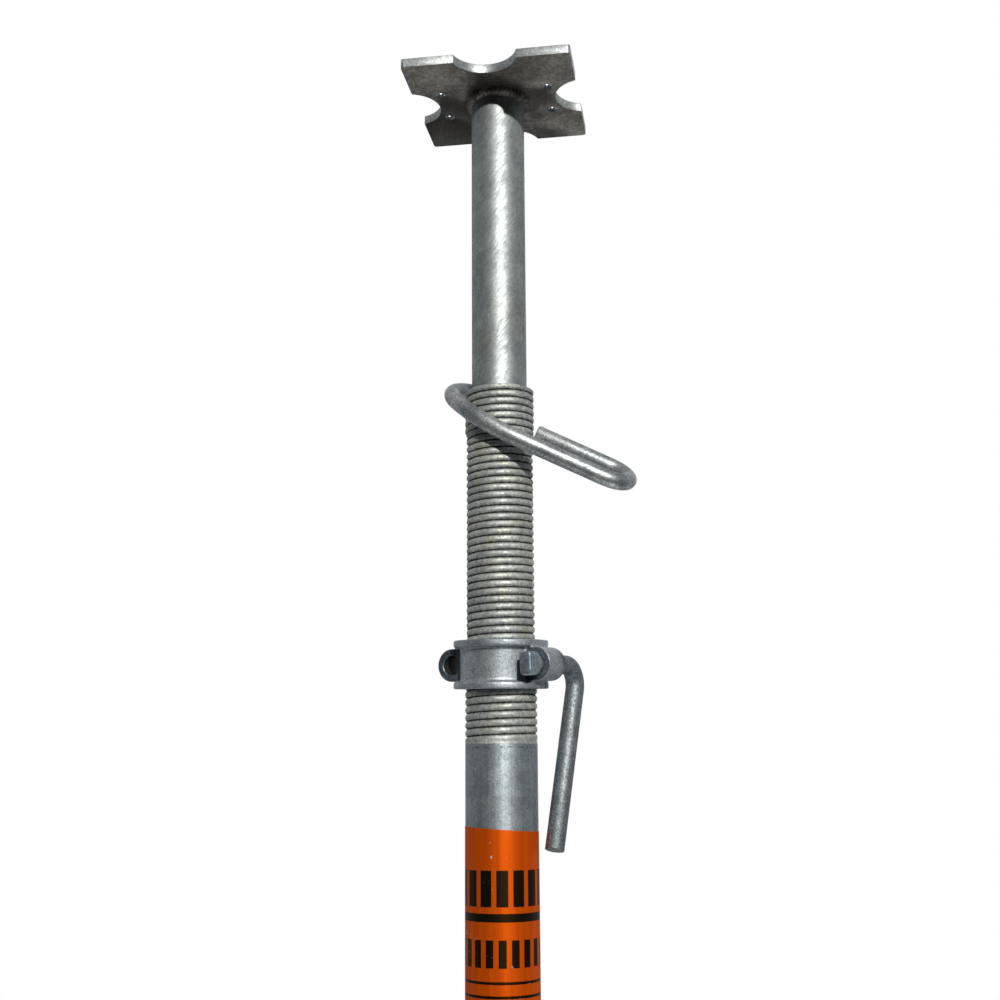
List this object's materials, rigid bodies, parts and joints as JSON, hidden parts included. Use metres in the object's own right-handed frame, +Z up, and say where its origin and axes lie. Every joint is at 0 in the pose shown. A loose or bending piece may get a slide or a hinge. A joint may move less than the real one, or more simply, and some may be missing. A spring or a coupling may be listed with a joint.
{
  "type": "adjustable steel prop",
  "caption": "Telescopic steel prop with a slotted, threaded outer tube, an inner tube with pin holes, a collar nut with a swinging handle, a loop pin and two square end plates.",
  "frame": {"origin": "centre of the base plate's underside", "axes": "+Z up along the tubes, +X through the pin slots, -Y towards the side that shows the flattened head of the handle"},
  "size_m": [0.2012, 0.1704, 1.98],
  "materials": {
    "plate_steel": "hot-dip galvanised plate, dull, brownish where handled",
    "weld": "weld bead under zinc",
    "zinc_outer_tube": "galvanised, yellowish on the rolled thread",
    "zinc_inner_tube": "bluish galvanised, slightly mottled",
    "label": "orange film, glossy",
    "cast_nut": "grainy galvanised casting",
    "handle_steel": "galvanised round bar, speckled",
    "pin_steel": "galvanised round bar, smooth"
  },
  "bodies": {
    "outer": {"base_plate": "plate_steel", "base_weld": "weld", "outer_tube": "zinc_outer_tube", "label": "label"},
    "inner": {"inner_tube": "zinc_inner_tube", "head_weld": "weld", "head_plate": "plate_steel"},
    "collar": {"collar_nut": "cast_nut"},
    "handle": {"handle": "handle_steel"},
    "pin": {"g_pin": "pin_steel"}
  },
  "joints": [
    {"name": "inner_tube_slide", "type": "slide", "parent": "outer", "child": "inner", "axis": [0, 0, 1], "range_m": [0, 1.37]},
    {"name": "collar_nut_climb", "type": "slide", "parent": "outer", "child": "collar", "axis": [0, 0, 1], "range_m": [-0.0381, 0.1143]},
    {"name": "handle_swing", "type": "hinge", "parent": "collar", "child": "handle", "pos_m": [0.03496, -0.02138, 1.45219], "axis": [-0.5225, -0.851, -0.0521], "range_deg": [-1.5, 90]},
    {"name": "pin_swivel", "type": "hinge", "parent": "outer", "child": "pin", "pos_m": [0, 0, 1.692], "axis": [0, 0, 1], "continuous": true}
  ]
}
